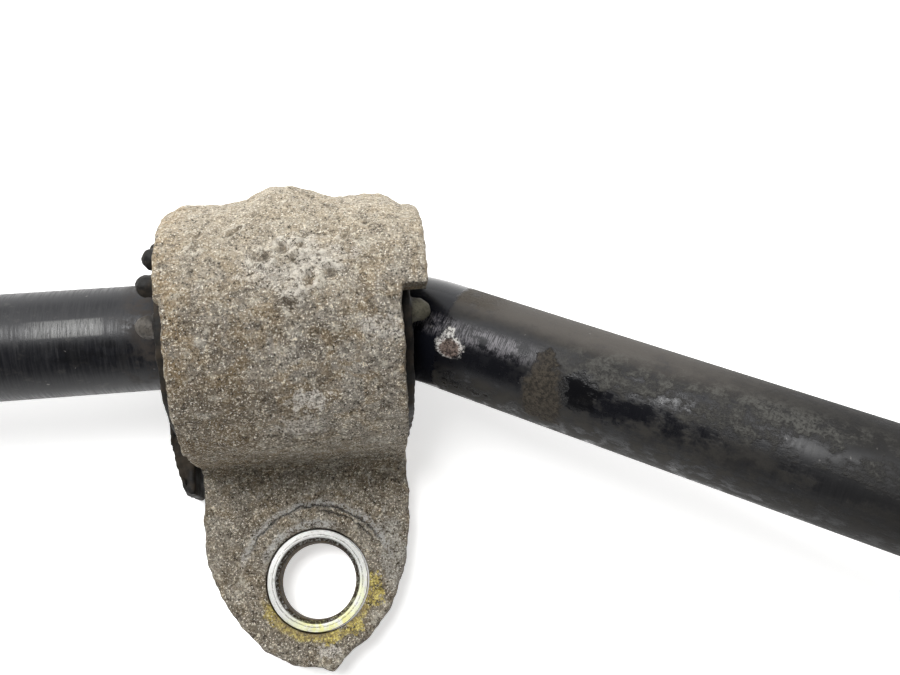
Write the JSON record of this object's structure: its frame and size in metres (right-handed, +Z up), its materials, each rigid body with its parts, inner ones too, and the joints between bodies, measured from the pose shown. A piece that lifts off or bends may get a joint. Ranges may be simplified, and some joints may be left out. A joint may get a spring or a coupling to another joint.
{
  "type": "sway bar",
  "caption": "U-shaped vehicle sway bar with cast brackets on split rubber bushings and ball-jointed end links bolted to its flattened arm ends.",
  "frame": {"origin": "middle of the bounding box base, on the surface that the brackets and arm ends rest on", "axes": "+X along the straight centre section, +Y from the arm ends towards the brackets, +Z up"},
  "size_m": [1.04, 0.3434, 0.0911],
  "materials": {
    "black_paint": "semi-gloss black paint, chipped and dusty",
    "cast_aluminium": "rough corroded sand casting",
    "zinc_steel": "zinc plate with a yellow-green passivation",
    "bushing_rubber": "dull, dusty",
    "boot_rubber": "satin",
    "coated_steel": "satin black coating",
    "bright_steel": "bright turned steel",
    "seat_plastic": "natural"
  },
  "bodies": {
    "bar": {"sway_bar": "black_paint", "lower_ball_stud_right": "bright_steel", "lower_flange_nut_right": "zinc_steel", "lower_ball_stud_left": "bright_steel", "lower_flange_nut_left": "zinc_steel"},
    "bracket_right_body": {"bracket_right": "cast_aluminium", "bolt_sleeve_right": "zinc_steel", "bushing_right": "bushing_rubber"},
    "lower_boot_right_body": {"lower_boot_right": "boot_rubber", "lower_boot_small_clip_right": "bright_steel"},
    "link_right_body": {"link_rod_right": "coated_steel", "lower_ball_seat_right": "seat_plastic", "upper_ball_seat_right": "seat_plastic", "lower_housing_cap_right": "coated_steel", "upper_housing_cap_right": "coated_steel", "lower_boot_large_clip_right": "bright_steel", "upper_boot_large_clip_right": "bright_steel"},
    "upper_boot_right_body": {"upper_boot_right": "boot_rubber", "upper_boot_small_clip_right": "bright_steel"},
    "upper_stud_right_body": {"upper_ball_stud_right": "bright_steel", "upper_flange_nut_right": "zinc_steel"},
    "bracket_left_body": {"bracket_left": "cast_aluminium", "bolt_sleeve_left": "zinc_steel", "bushing_left": "bushing_rubber"},
    "lower_boot_left_body": {"lower_boot_left": "boot_rubber", "lower_boot_small_clip_left": "bright_steel"},
    "link_left_body": {"link_rod_left": "coated_steel", "lower_ball_seat_left": "seat_plastic", "upper_ball_seat_left": "seat_plastic", "lower_housing_cap_left": "coated_steel", "upper_housing_cap_left": "coated_steel", "lower_boot_large_clip_left": "bright_steel", "upper_boot_large_clip_left": "bright_steel"},
    "upper_boot_left_body": {"upper_boot_left": "boot_rubber", "upper_boot_small_clip_left": "bright_steel"},
    "upper_stud_left_body": {"upper_ball_stud_left": "bright_steel", "upper_flange_nut_left": "zinc_steel"}
  },
  "joints": [
    {"name": "bracket_turn_right", "type": "hinge", "parent": "bar", "child": "bracket_right_body", "pos_m": [0.28, 0.13575, 0.0274], "axis": [1, 0, 0], "range_deg": [-20, 20]},
    {"name": "link_swing_right", "type": "hinge", "parent": "bar", "child": "lower_boot_right_body", "pos_m": [0.467, -0.15425, 0.0175], "axis": [1, 0, 0], "continuous": true},
    {"name": "link_tilt_right", "type": "hinge", "parent": "lower_boot_right_body", "child": "link_right_body", "pos_m": [0.467, -0.15425, 0.0175], "axis": [0, 0, 1], "range_deg": [-15, 15], "deforming": ["lower_boot_right"]},
    {"name": "upper_stud_tilt_right", "type": "hinge", "parent": "link_right_body", "child": "upper_boot_right_body", "pos_m": [0.467, 0.10575, 0.0175], "axis": [0, 0, 1], "range_deg": [-15, 15], "deforming": ["upper_boot_right"]},
    {"name": "upper_stud_spin_right", "type": "hinge", "parent": "upper_boot_right_body", "child": "upper_stud_right_body", "pos_m": [0.467, 0.10575, 0.0175], "axis": [1, 0, 0], "continuous": true},
    {"name": "bracket_turn_left", "type": "hinge", "parent": "bar", "child": "bracket_left_body", "pos_m": [-0.28, 0.13575, 0.0274], "axis": [1, 0, 0], "range_deg": [-20, 20]},
    {"name": "link_swing_left", "type": "hinge", "parent": "bar", "child": "lower_boot_left_body", "pos_m": [-0.467, -0.15425, 0.0175], "axis": [1, 0, 0], "continuous": true},
    {"name": "link_tilt_left", "type": "hinge", "parent": "lower_boot_left_body", "child": "link_left_body", "pos_m": [-0.467, -0.15425, 0.0175], "axis": [0, 0, 1], "range_deg": [-15, 15], "deforming": ["lower_boot_left"]},
    {"name": "upper_stud_tilt_left", "type": "hinge", "parent": "link_left_body", "child": "upper_boot_left_body", "pos_m": [-0.467, 0.10575, 0.0175], "axis": [0, 0, 1], "range_deg": [-15, 15], "deforming": ["upper_boot_left"]},
    {"name": "upper_stud_spin_left", "type": "hinge", "parent": "upper_boot_left_body", "child": "upper_stud_left_body", "pos_m": [-0.467, 0.10575, 0.0175], "axis": [1, 0, 0], "continuous": true}
  ]
}
